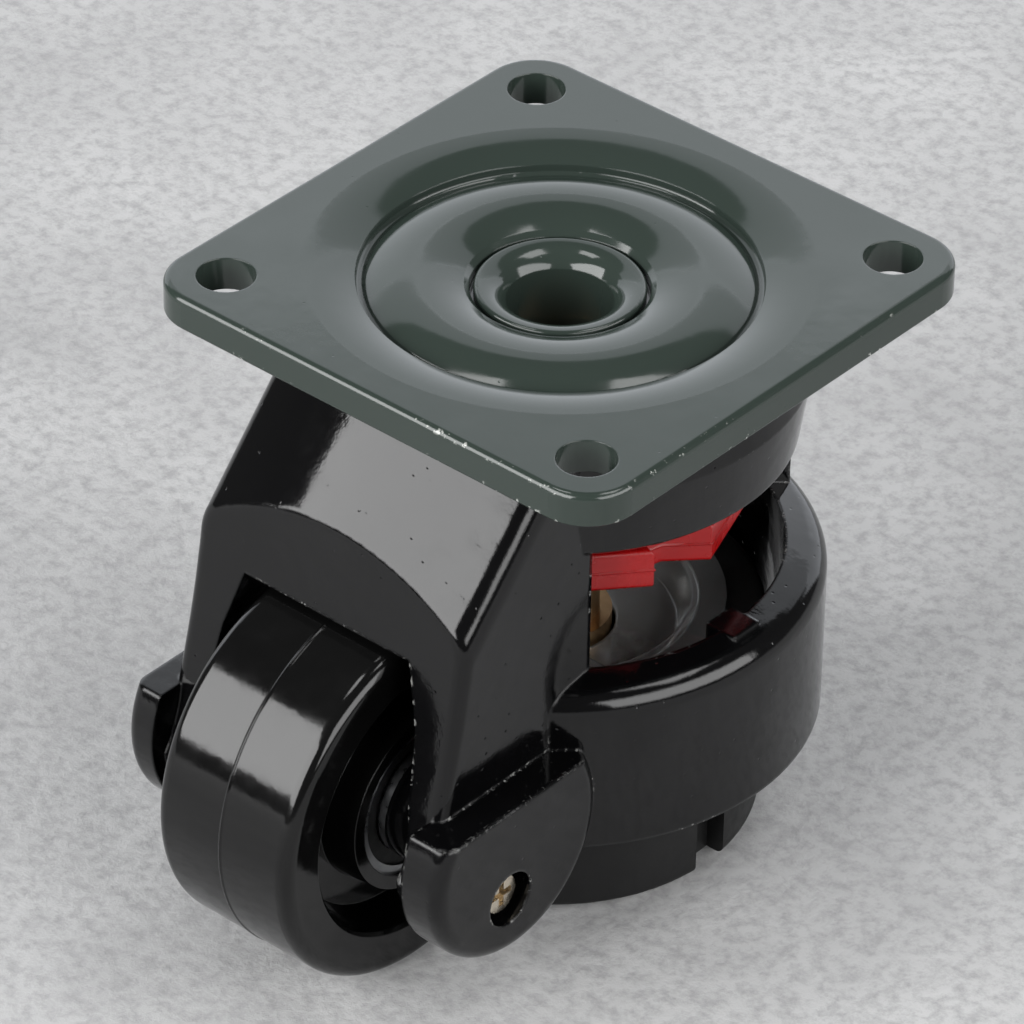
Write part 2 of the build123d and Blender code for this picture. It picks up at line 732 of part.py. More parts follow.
with BuildPart() as cover_hollow:
    with BuildSketch(Plane.XZ):
        with BuildLine():
            Polyline(
                (0, pad_top + 2 * cover_thickness),
                (cover_bowl_top_radius - cover_thickness, pad_top + 2 * cover_thickness),
                (cover_bowl_top_radius - cover_thickness, pad_top),
                (cover_bowl_bottom_radius - cover_thickness, bowl_bottom + cover_thickness),
                (0, bowl_bottom + cover_thickness),
                close=True,
            )
        make_face()
    revolve(axis=Axis.Z)
    with BuildSketch(Plane.XY.offset(bowl_bottom)):
        with Locations((0, pocket_flat_y + cover_thickness)):
            Rectangle(4 * pad_radius, 2 * pad_radius, align=(Align.CENTER, Align.MAX))
    extrude(amount=plate_side, mode=Mode.SUBTRACT)

with BuildPart() as dust_cover:
    with BuildSketch(Plane.XY.offset(pad_top)):
        Circle(cover_radius)
        with Locations((0, slot_y)):
            Rectangle(4 * pad_radius, 2 * pad_radius, align=(Align.CENTER, Align.MAX), mode=Mode.SUBTRACT)
    extrude(amount=cover_thickness)
    add(cover_bowl.part)
    add(cover_hollow.part, mode=Mode.SUBTRACT)
    with BuildSketch(Plane.XY.offset(bowl_bottom)):
        Circle(spindle_collar_radius + cover_spindle_gap)
    extrude(amount=2 * cover_thickness, mode=Mode.SUBTRACT)
    with BuildSketch(Plane.XY.offset(bowl_bottom)):
        Circle(spindle_collar_radius + running_gap)
    extrude(amount=pad_top + 2 * cover_thickness - bowl_bottom, mode=Mode.SUBTRACT)
finish(dust_cover, "dust_cover")

# ================================================================ wheel
wheel_radius = wheel_diameter / 2 - mould_line_height / 2  # tread, the mould line standing on it
dish_floor_x = hub_face_x - dish_depth
axle_plane = Plane(origin=(0, axle_y, axle_z), x_dir=(1, 0, 0), z_dir=(0, -1, 0))
axle_line = Axis((0, axle_y, axle_z), (1, 0, 0))
with BuildPart() as wheel:
    # Right-hand half of the section, mirrored about the mould line.
    with BuildSketch(axle_plane):
        with BuildLine():
            Polyline(
                (0, axle_radius + wheel_web_clearance),
                (bearing_face_x - bearing_width, axle_radius + wheel_web_clearance),
                (bearing_face_x - bearing_width, bearing_outer_radius),
                (hub_face_x, bearing_outer_radius),
                (hub_face_x, hub_radius),
                (dish_floor_x, hub_radius + dish_bevel),
                (dish_floor_x, dish_floor_radius),
                (hub_face_x - dish_bevel, dish_outer_radius),
                (hub_face_x, dish_outer_radius + dish_bevel),
                (hub_face_x, wheel_radius - wheel_edge_round),
            )
            ThreePointArc(
                (hub_face_x, wheel_radius - wheel_edge_round),
                (hub_face_x - wheel_edge_round * arc_inset, wheel_radius - wheel_edge_round * arc_inset),
                (hub_face_x - wheel_edge_round, wheel_radius),
            )
            Polyline(
                (hub_face_x - wheel_edge_round, wheel_radius),
                (mould_line_height, wheel_radius),
                (0, wheel_radius + mould_line_height / 2),
                (0, axle_radius + wheel_web_clearance),
            )
        make_face()
        mirror(about=Plane.YZ)
    revolve(axis=axle_line)
finish(wheel, "wheel")

with BuildPart() as bearing_spacer:
    with BuildSketch(Plane.YZ.offset(bearing_width - bearing_face_x)):
        with Locations((axle_y, axle_z)):
            Circle(axle_radius + spacer_wall)
            Circle(axle_radius, mode=Mode.SUBTRACT)
    extrude(amount=2 * (bearing_face_x - bearing_width))
finish(bearing_spacer, "bearing_spacer")


def tube_x(label, start_x, end_x, outer_radius, inner_radius):
    """A plain ring round the axle."""
    with BuildPart() as ring:
        with BuildSketch(Plane.YZ.offset(start_x)):
            with Locations((axle_y, axle_z)):
                Circle(outer_radius)
                Circle(inner_radius, mode=Mode.SUBTRACT)
        extrude(amount=end_x - start_x)
    finish(ring, label)


ball_pitch_radius = (axle_radius + ring_wall + bearing_outer_radius - ring_wall) / 2
for side, name in ((-1, "left"), (1, "right")):
    outer_x = side * bearing_face_x
    inner_x = side * (bearing_face_x - bearing_width)
    middle_x = (outer_x + inner_x) / 2
    for label, outer_radius, inner_radius, ball_size in (
        ("outer_ring", bearing_outer_radius, bearing_outer_radius - ring_wall, bearing_ball_radius),
        ("inner_ring", axle_radius + ring_wall, axle_radius, bearing_ball_radius + running_clearance),
    ):
        with BuildPart() as bearing_ring:
            with BuildSketch(Plane.YZ.offset(inner_x)):
                with Locations((axle_y, axle_z)):
                    Circle(outer_radius)
                    Circle(inner_radius, mode=Mode.SUBTRACT)
            extrude(amount=side * bearing_width)
            with BuildSketch(axle_plane):
                with Locations((middle_x, ball_pitch_radius)):
                    Circle(ball_size)
            revolve(axis=axle_line, mode=Mode.SUBTRACT)
        finish(bearing_ring, name + "_bearing_" + label)
    with BuildPart() as bearing_balls:
        with Locations(Plane(origin=(middle_x, axle_y, axle_z), z_dir=(1, 0, 0))):
            with PolarLocations(ball_pitch_radius, bearing_ball_count):
                Sphere(bearing_ball_radius)
    finish(bearing_balls, name + "_bearing_balls")
    with BuildPart() as shields:
        for shield_x in (outer_x - side * shield_inset, inner_x + side * (shield_inset + shield_thickness)):
            with BuildSketch(Plane.YZ.offset(shield_x)):
                with Locations((axle_y, axle_z)):
                    Circle(bearing_outer_radius - ring_wall)
                    Circle(axle_radius + ring_wall + shield_inset, mode=Mode.SUBTRACT)
            extrude(amount=-side * shield_thickness)
    finish(shields, name + "_bearing_shields")
    tube_x(name + "_side_washer", outer_x, side * boss_face_x, side_washer_radius, axle_radius)

with BuildPart() as axle:
    with BuildSketch(Plane.YZ.offset(axle_left_x)):
        with Locations((axle_y, axle_z)):
            Circle(axle_radius)
    extrude(amount=axle_right_x - axle_left_x)
    with BuildSketch(Plane.YZ.offset(keeper_end_x)):
        with Locations((keeper_y, keeper_z)):
            Circle(keeper_radius)
    extrude(amount=right_ear_x, mode=Mode.SUBTRACT)
finish(axle, "axle")

with BuildPart() as keeper_screw:
    with BuildSketch(Plane.YZ.offset(keeper_end_x)):
        with Locations((keeper_y, keeper_z)):
            Circle(keeper_radius)
    extrude(amount=keeper_length)
    with BuildSketch(Plane.YZ.offset(keeper_seat_x)):
        with Locations((keeper_y, keeper_z)):
            Circle(keeper_head_radius)
    extrude(amount=keeper_head_length)
    with BuildSketch(Plane.YZ.offset(keeper_head_x)):
        with Locations((keeper_y, keeper_z)):
            Rectangle(recess_span, recess_width)
            Rectangle(recess_width, recess_span)
    extrude(amount=-recess_depth, mode=Mode.SUBTRACT)
finish(keeper_screw, "keeper_screw")

# ================================================================ export
for piece in finished:
    export_step(piece, "parts/" + piece.label + ".step")
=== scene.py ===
"""Levelling castor: finishes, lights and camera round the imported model.

Metres, in the model's own frame: origin at the centre of the mounting plate's top face, +Z up, the
wheel on the -Y side. The solids keep their shapes and get procedural finishes. The thumbwheel is
modelled anew from its solid, with the fine line that its mould leaves.
"""

import json
import logging
from abc import ABC, abstractmethod
from dataclasses import dataclass
from enum import Enum
from math import cos, pi, radians, sin, tan

import bpy
from mathutils import Matrix, Vector

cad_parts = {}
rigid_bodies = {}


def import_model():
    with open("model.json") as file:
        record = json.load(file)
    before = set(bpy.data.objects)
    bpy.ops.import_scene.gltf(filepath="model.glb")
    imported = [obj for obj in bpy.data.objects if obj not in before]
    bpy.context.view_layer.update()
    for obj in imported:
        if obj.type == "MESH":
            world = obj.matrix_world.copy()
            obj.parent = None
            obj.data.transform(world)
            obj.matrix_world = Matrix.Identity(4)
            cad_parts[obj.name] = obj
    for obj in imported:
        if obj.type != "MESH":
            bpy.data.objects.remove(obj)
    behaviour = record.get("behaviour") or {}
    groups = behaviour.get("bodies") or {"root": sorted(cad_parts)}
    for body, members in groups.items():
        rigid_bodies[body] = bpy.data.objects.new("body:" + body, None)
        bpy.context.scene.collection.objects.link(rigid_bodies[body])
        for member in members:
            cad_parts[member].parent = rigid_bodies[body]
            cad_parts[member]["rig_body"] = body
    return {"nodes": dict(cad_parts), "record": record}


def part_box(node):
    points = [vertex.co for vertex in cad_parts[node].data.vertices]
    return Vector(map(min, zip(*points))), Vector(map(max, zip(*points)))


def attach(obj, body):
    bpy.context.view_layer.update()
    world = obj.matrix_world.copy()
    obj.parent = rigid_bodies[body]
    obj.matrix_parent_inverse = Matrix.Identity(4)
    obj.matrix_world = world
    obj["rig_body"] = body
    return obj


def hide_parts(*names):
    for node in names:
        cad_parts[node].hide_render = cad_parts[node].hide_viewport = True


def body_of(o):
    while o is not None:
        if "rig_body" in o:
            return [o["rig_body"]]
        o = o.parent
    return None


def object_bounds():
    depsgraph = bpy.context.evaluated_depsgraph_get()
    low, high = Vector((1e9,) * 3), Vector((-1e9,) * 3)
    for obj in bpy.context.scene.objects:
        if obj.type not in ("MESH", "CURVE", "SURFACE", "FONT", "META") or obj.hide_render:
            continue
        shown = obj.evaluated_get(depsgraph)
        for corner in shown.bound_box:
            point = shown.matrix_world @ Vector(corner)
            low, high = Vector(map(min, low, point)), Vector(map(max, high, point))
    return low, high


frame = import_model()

logging.basicConfig(level=logging.INFO, format="%(name)s: %(message)s")
log = logging.getLogger("castor")

Colour = tuple[float, float, float]  # linear red, green and blue
Socket = bpy.types.NodeSocket

MM = 0.001
CAD_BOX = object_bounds()  # taken before any piece is added
BEVEL_SAMPLES = 6  # rays that find an edge's rounding, at each point
MERGE_DISTANCE = 0.0005 * MM  # points nearer than this are one point


# ------------------------------------------------------------------ node tree help
class Surface:
    """A material's node tree, built up from its shader outwards."""

    def __init__(self, name: str) -> None:
        """Starts a material that holds only a Principled shader.

        Args:
            name: the material's name.
        """
        self.material = bpy.data.materials.new(name)
        self.material.use_nodes = True
        self.nodes = self.material.node_tree.nodes
        self.links = self.material.node_tree.links
        self.shader = self.nodes["Principled BSDF"]
        self.place = self.nodes.new("ShaderNodeTexCoord").outputs["Object"]
        self.normal = None

    def set(self, **values: float) -> None:
        """Sets the shader's own sockets.

        Args:
            values: socket names with underscores for spaces, and their values.
        """
        for name, value in values.items():
            self.shader.inputs[name.replace("_", " ")].default_value = value

    def feed(self, name: str, value: Socket) -> None:
        """Links a pattern to one of the shader's inputs.

        Args:
            name: the input's name.
            value: the pattern.
        """
        self.links.new(value, self.shader.inputs[name])

    def soften(self, radius: float) -> None:
        """Rounds the look of sharp edges.

        Args:
            radius: the rounding's radius.
        """
        node = self.nodes.new("ShaderNodeBevel")
        node.samples = BEVEL_SAMPLES
        node.inputs["Radius"].default_value = radius
        self.normal = node.outputs["Normal"]

    def edges(self, low: float, high: float) -> Socket:
        """Finds the narrow strips along sharp edges. The surface is softened first.

        Args:
            low: share of turning at which a strip begins.
            high: share of turning at which it is full.

        Returns:
            0 on smooth faces, 1 along edges.
        """
        face = self.nodes.new("ShaderNodeNewGeometry").outputs["Normal"]
        node = self.nodes.new("ShaderNodeVectorMath")
        node.operation = "DOT_PRODUCT"
        self.links.new(face, node.inputs[0])
        self.links.new(self.normal, node.inputs[1])
        return self.remap(node.outputs["Value"], 1.0 - low, 1.0 - high, 0.0, 1.0)

    def axis(self, letter: str) -> Socket:
        """Reads one coordinate over the piece.

        Args:
            letter: X, Y or Z.

        Returns:
            The coordinate.
        """
        node = self.nodes.new("ShaderNodeSeparateXYZ")
        self.links.new(self.place, node.inputs["Vector"])
        return node.outputs[letter]

    def noise(self, scale: float, detail: float = 2.0, roughness: float = 0.5) -> Socket:
        """Adds cloudy noise over the piece.

        Args:
            scale: cycles per metre.
            detail: number of finer octaves.
            roughness: strength of the finer octaves.

        Returns:
            The noise, from 0 to 1 round 0.5.
        """
        node = self.nodes.new("ShaderNodeTexNoise")
        node.inputs["Scale"].default_value = scale
        node.inputs["Detail"].default_value = detail
        node.inputs["Roughness"].default_value = roughness
        self.links.new(self.place, node.inputs["Vector"])
        return node.outputs["Fac"]

    def spots(self, scale: float, size: float) -> Socket:
        """Adds scattered round spots.

        Args:
            scale: cells per metre.
            size: spot radius as a share of a cell.

        Returns:
            1 inside a spot, falling to 0 at its edge.
        """
        node = self.nodes.new("ShaderNodeTexVoronoi")
        node.inputs["Scale"].default_value = scale
        self.links.new(self.place, node.inputs["Vector"])
        return self.remap(node.outputs["Distance"], 0.0, size, 1.0, 0.0)

    def remap(self, value: Socket, low: float, high: float, to_low: float, to_high: float) -> Socket:
        """Maps a range onto another, clamped at both ends.

        Args:
            value: the pattern to map.
            low: start of the range read.
            high: end of the range read.
            to_low: result at low.
            to_high: result at high.

        Returns:
            The mapped pattern.
        """
        node = self.nodes.new("ShaderNodeMapRange")
        for name, number in (("From Min", low), ("From Max", high), ("To Min", to_low), ("To Max", to_high)):
            node.inputs[name].default_value = number
        self.links.new(value, node.inputs["Value"])
        return node.outputs["Result"]

    def math(self, operation: str, first: Socket | float, second: Socket | float = 0.0) -> Socket:
        """Adds one arithmetic step.

        Args:
            operation: Blender's name of the operation.
            first: a pattern or a number.
            second: a pattern or a number, for operations that take two.

        Returns:
            The result.
        """
        node = self.nodes.new("ShaderNodeMath")
        node.operation = operation
        for index, item in enumerate((first, second)):
            if isinstance(item, Socket):
                self.links.new(item, node.inputs[index])
            else:
                node.inputs[index].default_value = item
        return node.outputs["Value"]

    def product(self, *factors: Socket) -> Socket:
        """Multiplies several patterns together.

        Args:
            factors: the patterns, one or more.

        Returns:
            Their product.
        """
        result, *others = factors
        for factor in others:
            result = self.math("MULTIPLY", result, factor)
        return result

    def mix(self, share: Socket, first: Colour, second: Colour) -> Socket:
        """Blends two colours.

        Args:
            share: 0 gives the first colour, 1 the second.
            first: the first colour.
            second: the second colour.

        Returns:
            The blended colour.
        """
        node = self.nodes.new("ShaderNodeMix")
        node.data_type = "RGBA"
        node.inputs["A"].default_value = (*first, 1.0)
        node.inputs["B"].default_value = (*second, 1.0)
        self.links.new(share, node.inputs["Factor"])
        return node.outputs["Result"]

    def bump(self, *heights: tuple[Socket, float]) -> None:
        """Raises the surface by several patterns, one on the other.

        Args:
            heights: pairs of a height pattern and its depth.
        """
        below = self.normal
        for value, depth in heights:
            node = self.nodes.new("ShaderNodeBump")
            node.inputs["Strength"].default_value = 1.0
            node.inputs["Distance"].default_value = depth
            self.links.new(value, node.inputs["Height"])
            if below is not None:
                self.links.new(below, node.inputs["Normal"])
            below = node.outputs["Normal"]
        self.feed("Normal", below)


# ------------------------------------------------------------------ finishes
class Recipe(ABC):
    """A finish, as what is painted on a bare surface."""

    def make(self, name: str) -> bpy.types.Material:
        """Makes the finish's material.

        Args:
            name: the material's name.

        Returns:
            The finished material.
        """
        surface = Surface(name)
        self.paint(surface)
        return surface.material

    @abstractmethod
    def paint(self, surface: Surface) -> None:
        """Paints a surface.

        Args:
            surface: the bare surface.
        """


@dataclass(frozen=True)
class PlateEnamel(Recipe):
    """Glossy grey-green enamel on pressed steel, chipped white along the plate's edges."""

    colour: Colour = (0.022, 0.031, 0.026)
    chip_colour: Colour = (0.55, 0.56, 0.53)
    edge_round: float = 0.25 * MM
    half_side: float = 36.5 * MM
    middle_z: float = -2.25 * MM
    chip_reach: float = 0.7 * MM  # how far in from the plate's side a chip can start
    chip_full: float = 0.1 * MM  # how far in from the side chips are at their strongest
    corner_start: float = 1.5 * MM  # height from the plate's middle where chips begin
    corner_full: float = 2.1 * MM  # height from the middle where they are at their strongest

    def paint(self, surface: Surface) -> None:
        """Paints the enamel, with its ripples, its pits and the chips at the rim's corners.

        Args:
            surface: the bare surface.
        """
        surface.set(Metallic=0.0, Specular_IOR_Level=0.5)
        chips = surface.product(
            self.rim(surface),
            self.corner(surface),
            surface.remap(surface.noise(900.0, 5.0, 0.7), 0.61, 0.63, 0.0, 1.0),
            surface.remap(surface.noise(70.0, 2.0), 0.5, 0.56, 0.0, 1.0),
        )
        surface.feed("Base Color", surface.mix(chips, self.colour, self.chip_colour))
        surface.feed("Roughness", surface.remap(surface.noise(90.0, 3.0), 0.3, 0.7, 0.08, 0.13))
        surface.soften(self.edge_round)
        surface.bump(
            (surface.noise(150.0, 2.0), 0.02 * MM),
            (surface.noise(500.0, 3.0), 0.004 * MM),
            (surface.spots(260.0, 0.05), -0.02 * MM),
        )

    def rim(self, surface: Surface) -> Socket:
        """Marks the band along the plate's four sides.

        Args:
            surface: the surface that the band is on.

        Returns:
            1 at the plate's sides, 0 further in.
        """
        across = surface.math("ABSOLUTE", surface.axis("X"))
        along = surface.math("ABSOLUTE", surface.axis("Y"))
        outward = surface.math("MAXIMUM", across, along)
        start, full = self.half_side - self.chip_reach, self.half_side - self.chip_full
        return surface.remap(outward, start, full, 0.0, 1.0)

    def corner(self, surface: Surface) -> Socket:
        """Marks the levels of the rim's upper and lower corners.

        Args:
            surface: the surface that the levels are on.

        Returns:
            1 at the plate's top and bottom, 0 half-way between.
        """
        from_middle = surface.math("ABSOLUTE", surface.math("SUBTRACT", surface.axis("Z"), self.middle_z))
        return surface.remap(from_middle, self.corner_start, self.corner_full, 0.0, 1.0)


@dataclass(frozen=True)
class BodyPaint(Recipe):
    """Gloss black paint over a die casting, with slight ripples and pits."""

    colour: Colour = (0.0015, 0.0015, 0.0017)
    # light grey of the edge strips: partly paint chips, partly a painted highlight standing in for the glint
    # of small roundings
    wear_and_glint_colour: Colour = (0.3, 0.3, 0.29)
    edge_round: float = 0.6 * MM

    def paint(self, surface: Surface) -> None:
        """Paints the gloss black, with chips of wear and a painted highlight in places along the edges.

        Args:
            surface: the bare surface.
        """
        surface.set(Metallic=0.0, Specular_IOR_Level=0.4)
        surface.soften(self.edge_round)
        # light grey along sharp edges, concave ones too: partly wear, partly a painted highlight of the
        # edges' rounding
        wear_and_glint = surface.product(
            surface.edges(0.012, 0.045),
            surface.remap(surface.noise(1100.0, 4.0, 0.7), 0.56, 0.6, 0.0, 1.0),
            surface.remap(surface.noise(60.0, 2.0), 0.48, 0.58, 0.0, 1.0),
        )
        surface.feed("Base Color", surface.mix(wear_and_glint, self.colour, self.wear_and_glint_colour))
        surface.feed("Roughness", surface.remap(surface.noise(220.0, 4.0, 0.6), 0.35, 0.7, 0.05, 0.13))
        surface.bump(
            (surface.noise(110.0, 2.0), 0.12 * MM),
            (surface.noise(420.0, 4.0, 0.65), 0.024 * MM),
            (surface.spots(420.0, 0.10), -0.05 * MM),
        )


@dataclass(frozen=True)
class WheelNylon(Recipe):
    """Moulded black nylon with a soft gloss."""

    colour: Colour = (0.0015, 0.0015, 0.0015)
    second_colour: Colour = (0.003, 0.003, 0.003)
    edge_round: float = 0.25 * MM

    def paint(self, surface: Surface) -> None:
        """Paints the nylon, with the faint waves of its mould.

        Args:
            surface: the bare surface.
        """
        surface.set(Metallic=0.0, Specular_IOR_Level=0.4)
        surface.feed("Base Color", surface.mix(surface.noise(200.0, 3.0), self.colour, self.second_colour))
        surface.feed("Roughness", surface.remap(surface.noise(300.0, 4.0, 0.6), 0.35, 0.7, 0.07, 0.15))
        surface.soften(self.edge_round)
        surface.bump(
            (surface.noise(170.0, 3.0), 0.035 * MM),
            (surface.noise(700.0, 4.0, 0.6), 0.009 * MM),
        )


@dataclass(frozen=True)
class RedPlastic(Recipe):
    """Bright red moulded plastic."""

    colour: Colour = (0.31, 0.003, 0.004)
    second_colour: Colour = (0.25, 0.002, 0.002)
    edge_round: float = 0.3 * MM

    def paint(self, surface: Surface) -> None:
        """Paints the plastic, which lets a little light in.

        Args:
            surface: the bare surface.
        """
        surface.set(Metallic=0.0, Specular_IOR_Level=0.5, Subsurface_Weight=0.08, Subsurface_Scale=1.0 * MM)
        surface.feed("Base Color", surface.mix(surface.noise(150.0, 3.0), self.colour, self.second_colour))
        surface.feed("Roughness", surface.remap(surface.noise(260.0, 3.0), 0.3, 0.7, 0.2, 0.32))
        surface.soften(self.edge_round)
        surface.bump((surface.noise(250.0, 2.0), 0.03 * MM))


@dataclass(frozen=True)
class PadRubber(Recipe):
    """Dull black rubber."""

    colour: Colour = (0.0045, 0.0045, 0.0047)
    second_colour: Colour = (0.009, 0.009, 0.009)

    def paint(self, surface: Surface) -> None:
        """Paints the rubber and its fine grain.

        Args:
            surface: the bare surface.
        """
        surface.set(Metallic=0.0, Specular_IOR_Level=0.3)
        surface.feed("Base Color", surface.mix(surface.noise(120.0, 4.0), self.colour, self.second_colour))
        surface.feed("Roughness", surface.remap(surface.noise(400.0, 3.0), 0.3, 0.7, 0.4, 0.6))
        surface.bump((surface.noise(800.0, 3.0), 0.03 * MM))


@dataclass(frozen=True)
class SteelFinish(Recipe):
    """Plated or ground steel with fine turning marks."""

    colour: Colour
    roughness: float = 0.28
    smoother: float = 0.08  # how far the roughness falls in places
    rougher: float = 0.1  # how far it rises
    shade: float = 0.8  # the darker places' share of the colour

    def paint(self, surface: Surface) -> None:
        """Paints the metal.

        Args:
            surface: the bare surface.
        """
        surface.set(Metallic=1.0)
        darker = tuple(self.shade * part for part in self.colour)
        surface.feed("Base Color", surface.mix(surface.noise(400.0, 4.0, 0.6), self.colour, darker))
        low, high = self.roughness - self.smoother, self.roughness + self.rougher
        surface.feed("Roughness", surface.remap(surface.noise(700.0, 3.0), 0.3, 0.7, low, high))
        surface.bump((surface.noise(1500.0, 2.0), 0.01 * MM))


@dataclass(frozen=True)
class ClearCover(Recipe):
    """Clear moulded plastic, slightly grey."""

    colour: Colour = (0.86, 0.88, 0.88)
    second_colour: Colour = (0.78, 0.8, 0.8)
    edge_round: float = 0.5 * MM

    def paint(self, surface: Surface) -> None:
        """Paints the clear plastic, with the waves that bend what shows through it.

        Args:
            surface: the bare surface.
        """
        surface.set(Metallic=0.0, Transmission_Weight=0.86, IOR=1.49)
        surface.feed("Base Color", surface.mix(surface.noise(90.0, 2.0), self.colour, self.second_colour))
        surface.feed("Roughness", surface.remap(surface.noise(300.0, 3.0), 0.3, 0.7, 0.05, 0.14))
        surface.soften(self.edge_round)
        surface.bump((surface.noise(140.0, 2.0), 0.2 * MM))


@dataclass(frozen=True)
class FloorConcrete(Recipe):
    """Pale concrete, clouded and grainy."""

    colour: Colour = (0.27, 0.27, 0.272)
    second_colour: Colour = (0.45, 0.45, 0.451)

    def paint(self, surface: Surface) -> None:
        """Paints the concrete.

        Args:
            surface: the bare surface.
        """
        surface.set(Roughness=0.9, Specular_IOR_Level=0.2)
        clouds = surface.remap(surface.noise(22.0, 4.0, 0.6), 0.35, 0.65, 0.55, 1.0)
        grain = surface.remap(surface.noise(420.0, 6.0, 0.7), 0.36, 0.56, 0.3, 1.0)
        pale = surface.product(clouds, grain)
        surface.feed("Base Color", surface.mix(pale, self.colour, self.second_colour))
        surface.bump((surface.noise(420.0, 6.0, 0.7), 0.25 * MM))


class Finish(Enum):
    """The record's material slots and what each is finished with."""

    PLATE_ENAMEL = PlateEnamel()
    BODY_PAINT = BodyPaint()
    WHEEL_NYLON = WheelNylon()
    RED_PLASTIC = RedPlastic()
    PAD_RUBBER = PadRubber()
    SHIELD_RUBBER = PadRubber(colour=(0.006, 0.006, 0.006))
    BRIGHT_STEEL = SteelFinish((0.33, 0.335, 0.345), 0.32)
    YELLOW_ZINC = SteelFinish((0.42, 0.27, 0.14), 0.42)
    ZINC_STEEL = SteelFinish((0.55, 0.56, 0.57))
    SCREW_ZINC = SteelFinish((0.85, 0.76, 0.62), 0.2)
    CLEAR_COVER = ClearCover()

    @property
    def slot(self) -> str:
        """The record's slot name."""
        return self.name.lower()


class Paintshop:
    """Makes each finish once and puts it on pieces."""

    def __init__(self) -> None:
        """Makes every finish."""
        self.materials = {finish: finish.value.make(finish.slot) for finish in Finish}

    def dress(self, piece: bpy.types.Object, finish: Finish) -> None:
        """Gives a whole piece one finish.

        Args:
            piece: a mesh object.
            finish: the finish to use.
        """
        piece.data.materials.clear()
        piece.data.materials.append(self.materials[finish])


# ------------------------------------------------------------------ studio
def direction(azimuth: float, elevation: float) -> Vector:
    """Points away from the object.

    Args:
        azimuth: angle round +Z from -Y towards +X, in degrees.
        elevation: angle above level, in degrees.

    Returns:
        The unit vector.
    """
    turn, rise = radians(azimuth), radians(elevation)
    return Vector((sin(turn) * cos(rise), -cos(turn) * cos(rise), sin(rise)))


@dataclass(frozen=True)
class Softbox:
    """A rectangular lamp that faces the object, sized by the angles it fills, in degrees."""

    name: str
    azimuth: float
    elevation: float
    wide: float
    high: float
    brightness: float
    tint: Colour = (1.0, 1.0, 1.0)
    distance: float = 1.2
    aim_z: float = -40.0 * MM  # height of the point that it faces, on the swivel axis

    def hang(self) -> None:
        """Adds the lamp to the scene, with the power that gives its face the brightness."""
        data = bpy.data.lights.new(self.name, "AREA")
        data.shape = "RECTANGLE"
        data.size = 2 * self.distance * tan(radians(self.wide) / 2)
        data.size_y = 2 * self.distance * tan(radians(self.high) / 2)
        data.energy = pi * data.size * data.size_y * self.brightness
        data.color = self.tint
        lamp = bpy.data.objects.new(self.name, data)
        away = direction(self.azimuth, self.elevation)
        lamp.location = self.distance * away + Vector((0, 0, self.aim_z))
        lamp.rotation_euler = (-away).to_track_quat("-Z", "Y").to_euler()
        bpy.context.scene.collection.objects.link(lamp)


WALL_TINT = (0.95, 0.99, 1.05)
SOFTBOXES = (
    Softbox("front_softbox", -18.0, 26.5, 60.0, 37.0, 7.8),
    Softbox("right_softbox", 95.0, 26.0, 60.0, 33.0, 5.3),
    Softbox("upper_left_softbox", -63.0, 70.0, 14.0, 14.0, 6.0),
    Softbox("upper_right_softbox", 135.0, 69.0, 22.0, 18.0, 5.0),
    Softbox("back_wall", -140.0, 15.0, 100.0, 41.0, 1.5, WALL_TINT),
    Softbox("back_wall_top", -140.0, 42.0, 80.0, 14.0, 1.0, WALL_TINT),
)


@dataclass(frozen=True)
class Studio:
    """Pale floor, soft lamps and the camera. Angles are in degrees, the lens in millimetres."""

    floor_z: float = CAD_BOX[0][2]
    floor_size: float = 6.0
    azimuth: float = 40.44
    elevation: float = 35.555
    roll: float = 1.017
    distance: float = 831.62 * MM
    target: tuple[float, float, float] = (7.2625 * MM, -16.8913 * MM, -24.5775 * MM)
    lens: float = 238.47
    sensor_width: float = 36.0
    near_clip: float = 0.01
    surroundings: float = 0.12  # brightness of what the lamps leave dark

    def place_camera(self) -> None:
        """Stands the camera at its distance from the target, looking at it."""
        back = direction(self.azimuth, self.elevation)
        level = (-back).cross(Vector((0, 0, 1))).normalized()
        upright = level.cross(-back)
        roll = radians(self.roll)
        right = cos(roll) * level + sin(roll) * upright
        up = -sin(roll) * level + cos(roll) * upright
        camera = bpy.data.objects.new("camera", bpy.data.cameras.new("camera"))
        camera.data.lens = self.lens
        camera.data.sensor_width = self.sensor_width
        camera.data.clip_start = self.near_clip
        turn = Matrix((right, up, back)).transposed().to_4x4()
        camera.matrix_world = Matrix.Translation(Vector(self.target) + self.distance * back) @ turn
        bpy.context.scene.collection.objects.link(camera)
        bpy.context.scene.camera = camera

    def lay_floor(self) -> None:
        """Lays the floor at the wheel's lowest point."""
        bpy.ops.object.select_all(action="DESELECT")
        bpy.ops.mesh.primitive_plane_add(size=self.floor_size, location=(0, 0, self.floor_z))
        floor = bpy.context.object
        floor.name = "floor"
        floor.data.materials.append(FloorConcrete().make("floor"))

    def light(self) -> None:
        """Hangs the softboxes and sets the dim surroundings."""
        for softbox in SOFTBOXES:
            softbox.hang()
        world = bpy.data.worlds.new("studio")
        world.use_nodes = True
        background = world.node_tree.nodes["Background"]
        background.inputs["Color"].default_value = (1.0, 1.0, 1.0, 1.0)
        background.inputs["Strength"].default_value = self.surroundings
        bpy.context.scene.world = world

    def build(self) -> None:
        """Sets up the whole studio."""
        bpy.context.scene.view_settings.view_transform = "Standard"
        self.place_camera()
        self.lay_floor()
        self.light()


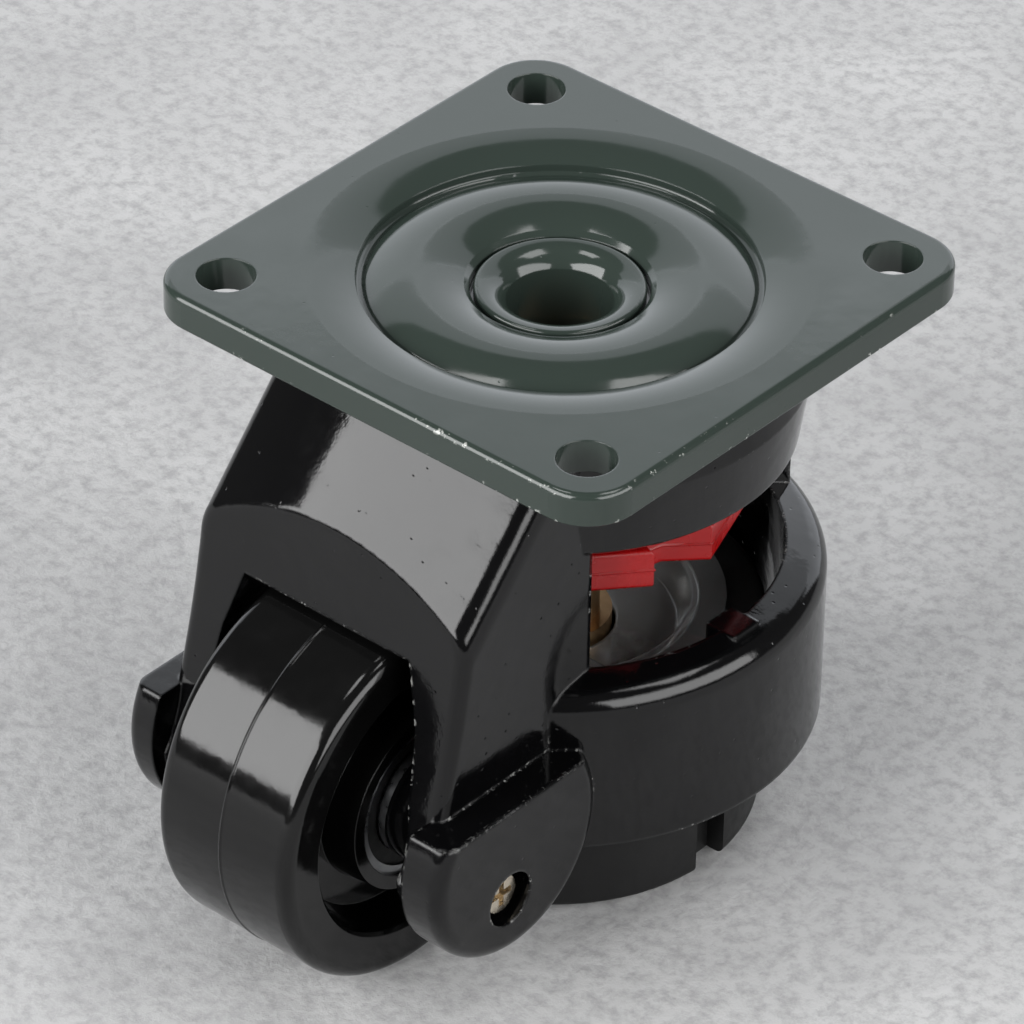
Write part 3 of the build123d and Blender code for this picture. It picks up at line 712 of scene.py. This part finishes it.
# ------------------------------------------------------------------ modelled pieces
def merged_copy(node_name: str, name: str) -> bpy.types.Object:
    """Copies a solid into a new piece, with its loose triangles joined, and leaves it selected.

    Args:
        node_name: the solid's node.
        name: the piece's name.

    Returns:
        The new piece, active and in object mode.
    """
    piece = bpy.data.objects.new(name, frame["nodes"][node_name].data.copy())
    bpy.context.scene.collection.objects.link(piece)
    bpy.ops.object.select_all(action="DESELECT")
    piece.select_set(True)
    bpy.context.view_layer.objects.active = piece
    bpy.ops.mesh.customdata_custom_splitnormals_clear()
    bpy.ops.object.mode_set(mode="EDIT")
    bpy.ops.mesh.select_all(action="SELECT")
    bpy.ops.mesh.remove_doubles(threshold=MERGE_DISTANCE)
    bpy.ops.object.mode_set(mode="OBJECT")
    return piece


@dataclass(frozen=True)
class Thumbwheel:
    """The adjusting thumbwheel, with the fine line that its mould leaves round the rim."""

    line_half_width: float = 0.13 * MM
    line_rise: float = 0.13 * MM
    bore_reach: float = 18.0 * MM  # faces nearer the axis than this are the bore's
    smooth_angle: float = radians(32.0)

    def cut_band(self, piece: bpy.types.Object, middle: float) -> None:
        """Cuts the rim along both sides of the mould line and selects the band between.

        Args:
            piece: the wheel, active and in object mode.
            middle: height of the mould line.
        """
        bpy.ops.object.mode_set(mode="EDIT")
        bpy.ops.mesh.select_mode(type="FACE")
        for level in (middle - self.line_half_width, middle + self.line_half_width):
            bpy.ops.mesh.select_all(action="SELECT")
            bpy.ops.mesh.bisect(plane_co=(0.0, 0.0, level), plane_no=(0.0, 0.0, 1.0))
        bpy.ops.mesh.select_all(action="DESELECT")
        bpy.ops.object.mode_set(mode="OBJECT")
        for face in piece.data.polygons:
            in_band = abs(face.center.z - middle) < self.line_half_width
            face.select = in_band and face.center.xy.length > self.bore_reach

    def build(self) -> bpy.types.Object:
        """Models the wheel in place of its solid.

        Returns:
            The finished wheel.
        """
        low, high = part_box("thumbwheel")
        piece = merged_copy("thumbwheel", "moulded_thumbwheel")
        self.cut_band(piece, (low[2] + high[2]) / 2)
        bpy.ops.object.mode_set(mode="EDIT")
        bpy.ops.mesh.extrude_region_shrink_fatten(
            TRANSFORM_OT_shrink_fatten={"value": self.line_rise, "use_even_offset": True}
        )
        bpy.ops.object.mode_set(mode="OBJECT")
        bpy.ops.object.shade_smooth_by_angle(angle=self.smooth_angle)
        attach(piece, body_of(frame["nodes"]["thumbwheel"])[0])
        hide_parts("thumbwheel")
        log.info("modelled %s, %d faces", piece.name, len(piece.data.polygons))
        return piece


# ------------------------------------------------------------------ the castor
class Castor:
    """The castor's nodes and pieces."""

    def __init__(self, shop: Paintshop) -> None:
        """Keeps the paint shop.

        Args:
            shop: where the finishes come from.
        """
        self.shop = shop

    def dress_nodes(self) -> None:
        """Gives every solid of the model the finish that its slot names."""
        finishes = {finish.slot: finish for finish in Finish}
        for entry in frame["record"]["subparts"]:
            node = frame["nodes"][entry["node"]]
            self.shop.dress(node, finishes[entry["material_slot"]])
            log.info("dressed %s", node.name)

    def model_pieces(self) -> None:
        """Models the pieces that stand in for plainer solids and dresses them."""
        self.shop.dress(Thumbwheel().build(), Finish.RED_PLASTIC)


def main() -> None:
    """Builds the studio, the finishes and the castor's pieces, in that order."""
    Studio().build()
    castor = Castor(Paintshop())
    castor.dress_nodes()
    castor.model_pieces()


if __name__ == "__main__":
    main()
